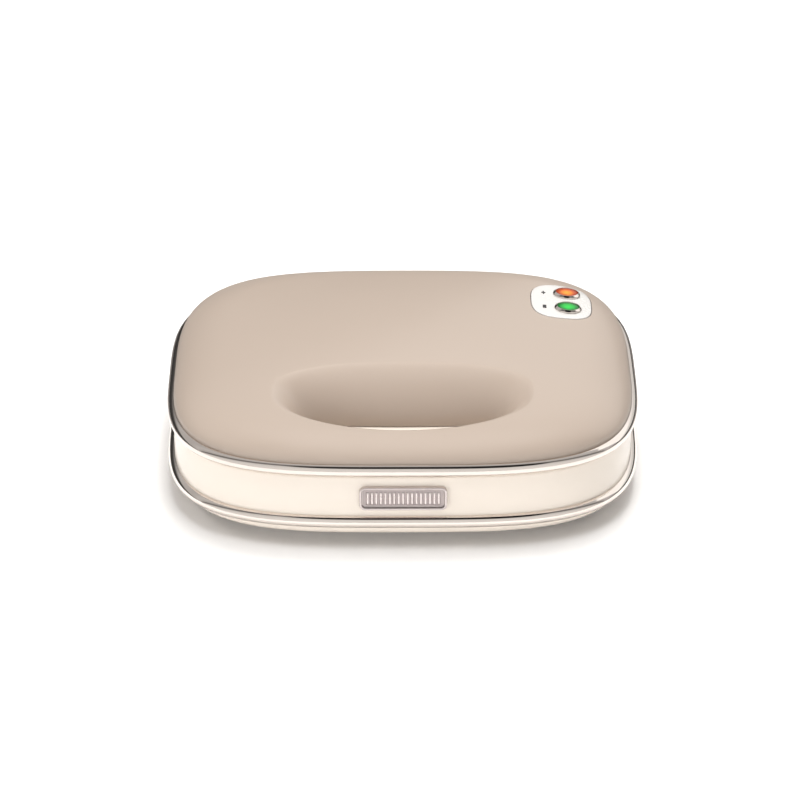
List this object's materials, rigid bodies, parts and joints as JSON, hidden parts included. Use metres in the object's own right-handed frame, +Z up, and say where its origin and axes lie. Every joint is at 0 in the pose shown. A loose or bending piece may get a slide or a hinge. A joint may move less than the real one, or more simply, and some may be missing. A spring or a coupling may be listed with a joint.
{
  "type": "sandwich toaster",
  "caption": "Slim electric sandwich toaster: rounded base, hinged domed lid with a hand opening, chrome trims, ribbed plates and indicator lamps.",
  "frame": {"origin": "centre of the bottom of the box over the whole part, on the table under the feet", "axes": "+Z up, +Y towards the hinge and the cord inlet, +X to the right as seen from the front"},
  "size_m": [0.24, 0.24, 0.0669],
  "materials": {
    "cream_enamel": "glossy cream moulding",
    "taupe_enamel": "glossy warm taupe moulding",
    "chrome": "polished chrome trim",
    "satin_nickel": "satin nickel badge",
    "rubber": "matt black rubber",
    "steel": "zinc-plated steel",
    "element_steel": "dull sheathed element",
    "aluminised_sheet": "aluminised steel sheet",
    "nonstick": "black non-stick coating on cast plate",
    "dark_plastic": "matt black plastic",
    "white_plastic": "glossy white plastic",
    "amber_lens": "amber translucent lens",
    "green_lens": "green translucent lens",
    "lamp_glass": "neon lamp glass",
    "board": "green circuit board"
  },
  "bodies": {
    "base": {"base_shell": "cream_enamel", "base_trim_ring": "chrome", "bottom_cover": "cream_enamel", "foot_front_left": "rubber", "foot_front_right": "rubber", "foot_rear_left": "rubber", "foot_rear_right": "rubber", "cover_screws": "steel", "cord_bush": "rubber", "cord_clamp": "dark_plastic", "clamp_screws": "steel", "terminal_block": "white_plastic", "badge_frame": "satin_nickel", "badge_plate": "satin_nickel", "lower_grill_plate": "nonstick", "lower_element": "element_steel", "lower_reflector": "aluminised_sheet", "lower_thermostat": "dark_plastic", "lower_plate_screws": "steel", "hinge_pin_left": "steel", "hinge_pin_right": "steel"},
    "lid": {"lid_shell": "taupe_enamel", "lid_trim_ring": "chrome", "lid_underpan": "taupe_enamel", "underpan_screws": "steel", "upper_grill_plate": "nonstick", "upper_element": "element_steel", "upper_reflector": "aluminised_sheet", "upper_thermostat": "dark_plastic", "upper_plate_screws": "steel", "hinge_arm_left": "taupe_enamel", "hinge_arm_right": "taupe_enamel", "hinge_arm_screws": "steel", "indicator_panel": "white_plastic", "panel_marks": "dark_plastic", "power_bezel": "chrome", "ready_bezel": "chrome", "power_lens": "amber_lens", "ready_lens": "green_lens", "power_lamp": "lamp_glass", "ready_lamp": "lamp_glass", "indicator_board": "board"}
  },
  "joints": [
    {"name": "lid_hinge", "type": "hinge", "parent": "base", "child": "lid", "pos_m": [0, 0.11545, 0.041], "axis": [-1, 0, 0], "range_deg": [0, 105]}
  ]
}
